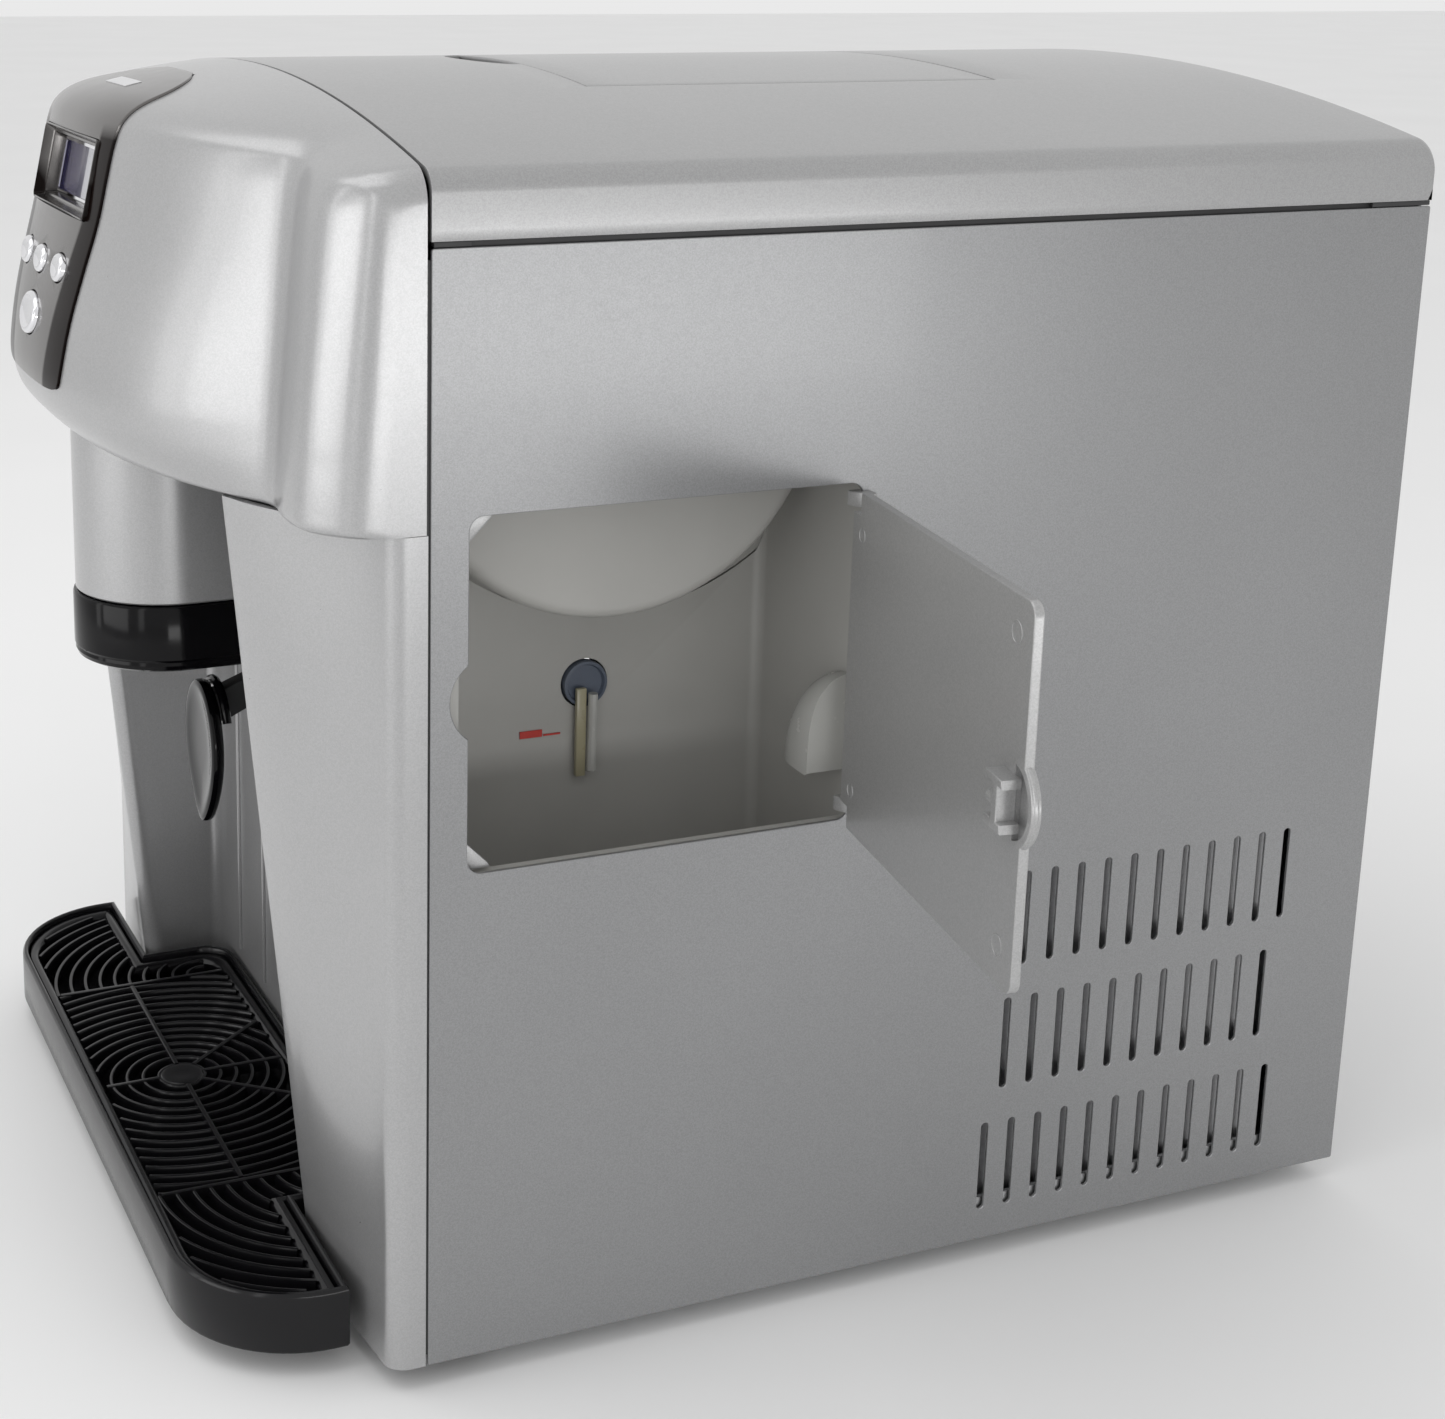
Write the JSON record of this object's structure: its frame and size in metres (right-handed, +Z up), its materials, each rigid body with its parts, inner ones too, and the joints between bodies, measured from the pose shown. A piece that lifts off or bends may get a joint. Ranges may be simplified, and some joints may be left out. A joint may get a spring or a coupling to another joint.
{
  "type": "countertop ice maker and dispenser",
  "caption": "Countertop ice maker with a front ice dispenser, drip tray, key panel, top flap and an open side water door.",
  "frame": {"origin": "middle of the bounding box's base, on the surface it stands on, with the side water door open at its rest angle", "axes": "-Y is the front with the key panel and the drip tray, +X is the side with the water door, +Z is up"},
  "size_m": [0.519, 0.4596, 0.4216],
  "materials": {
    "shell_silver": "silver metallic flake paint on moulded plastic, clear gloss",
    "cabinet_grey": "grey metallic paint, satin",
    "gloss_black": "gloss black moulding",
    "matte_black": "fine texture",
    "smoked_chrome": "dark smoked mirror plating",
    "chrome": "bright plating",
    "lcd_glass": "tinted display window",
    "white_plastic": "food grade white",
    "bare_steel": "zinc plated",
    "compressor_black": "black enamel",
    "evaporator_metal": "bare",
    "copper": "copper tube",
    "board_green": "circuit board",
    "foot_rubber": "moulded"
  },
  "bodies": {
    "cabinet": {"hood_cover": "shell_silver", "front_fascia": "shell_silver", "chute_cover": "shell_silver", "side_panel_right": "cabinet_grey", "side_panel_left": "cabinet_grey", "rear_panel": "cabinet_grey", "top_lid": "cabinet_grey", "finger_cup": "cabinet_grey", "chute_ring": "gloss_black", "hood_floor": "matte_black", "lever_bracket": "matte_black", "microswitch": "matte_black", "power_inlet": "matte_black", "trough_motor": "matte_black", "trough_bracket": "matte_black", "fan_shroud": "matte_black", "control_bezel": "smoked_chrome", "lcd_surround": "smoked_chrome", "lcd_module": "lcd_glass", "door_frame": "white_plastic", "water_tank": "white_plastic", "ice_bin": "white_plastic", "level_tube": "white_plastic", "fill_spout": "white_plastic", "water_pump": "white_plastic", "water_hose": "white_plastic", "base_pan": "bare_steel", "screw_1": "bare_steel", "screw_2": "bare_steel", "screw_3": "bare_steel", "screw_4": "bare_steel", "agitator_motor": "bare_steel", "fan_motor": "bare_steel", "fan_strut": "bare_steel", "compressor_plate": "bare_steel", "compressor": "compressor_black", "evaporator": "evaporator_metal", "condenser": "evaporator_metal", "refrigerant_line": "copper", "control_board": "board_green", "foot_front_right": "foot_rubber", "foot_front_left": "foot_rubber", "foot_rear_right": "foot_rubber", "foot_rear_left": "foot_rubber"},
    "door": {"side_door": "cabinet_grey"},
    "flap": {"top_flap": "cabinet_grey"},
    "key_l": {"key_left": "chrome"},
    "key_m": {"key_middle": "chrome"},
    "key_r": {"key_right": "chrome"},
    "key_s": {"key_select": "chrome"},
    "lever": {"dispense_lever": "gloss_black"},
    "gate": {"bin_gate": "matte_black"},
    "tray": {"drip_tray": "gloss_black"},
    "grille": {"drip_grille": "gloss_black"},
    "fan": {"fan_blade": "matte_black"},
    "agitator": {"ice_agitator": "bare_steel"},
    "trough": {"water_trough": "matte_black"},
    "cap": {"drain_cap": "matte_black"}
  },
  "joints": [
    {"name": "side_door_hinge", "type": "hinge", "parent": "cabinet", "child": "door", "pos_m": [0.11906, 0.0057, 0.2375], "axis": [0, 0, 1], "range_deg": [-80, 30]},
    {"name": "top_flap_hinge", "type": "hinge", "parent": "cabinet", "child": "flap", "pos_m": [-0.07154, 0.1124, 0.421], "axis": [-1, 0, 0], "range_deg": [0, 100]},
    {"name": "key_left_press", "type": "slide", "parent": "cabinet", "child": "key_l", "axis": [0, 0.9766, -0.2149], "range_m": [0, 0.0012], "stiffness_N_per_m": 300, "springref_m": -0.0006},
    {"name": "key_middle_press", "type": "slide", "parent": "cabinet", "child": "key_m", "axis": [0, 0.9766, -0.2149], "range_m": [0, 0.0012], "stiffness_N_per_m": 300, "springref_m": -0.0006},
    {"name": "key_right_press", "type": "slide", "parent": "cabinet", "child": "key_r", "axis": [0, 0.9766, -0.2149], "range_m": [0, 0.0012], "stiffness_N_per_m": 300, "springref_m": -0.0006},
    {"name": "key_select_press", "type": "slide", "parent": "cabinet", "child": "key_s", "axis": [0, 0.9766, -0.2149], "range_m": [0, 0.0012], "stiffness_N_per_m": 300, "springref_m": -0.0006},
    {"name": "lever_press", "type": "hinge", "parent": "cabinet", "child": "lever", "pos_m": [-0.07154, -0.1392, 0.19], "axis": [1, 0, 0], "range_deg": [0, 12], "stiffness_Nm_per_rad": 0.35, "springref_deg": -20.05},
    {"name": "bin_gate_lift", "type": "slide", "parent": "cabinet", "child": "gate", "axis": [0, 0, 1], "range_m": [0, 0.042]},
    {"name": "drip_tray_slide", "type": "slide", "parent": "cabinet", "child": "tray", "axis": [0, -1, 0], "range_m": [0, 0.09]},
    {"name": "drip_grille_lift", "type": "slide", "parent": "tray", "child": "grille", "axis": [0, 0, 1], "range_m": [0, 0.028]},
    {"name": "fan_spin", "type": "hinge", "parent": "cabinet", "child": "fan", "pos_m": [0.07346, 0.1298, 0.088], "axis": [1, 0, 0], "continuous": true},
    {"name": "agitator_spin", "type": "hinge", "parent": "cabinet", "child": "agitator", "pos_m": [-0.06154, -0.0452, 0.305], "axis": [1, 0, 0], "continuous": true},
    {"name": "trough_tilt", "type": "hinge", "parent": "cabinet", "child": "trough", "pos_m": [-0.07154, 0.0848, 0.3475], "axis": [1, 0, 0], "range_deg": [0, 40]},
    {"name": "drain_cap_pull", "type": "slide", "parent": "cabinet", "child": "cap", "axis": [0, 1, 0], "range_m": [0, 0.02]}
  ],
  "couplings": [
    {"joint": "bin_gate_lift", "follows": "lever_press", "m_per_rad": 0.2}
  ]
}
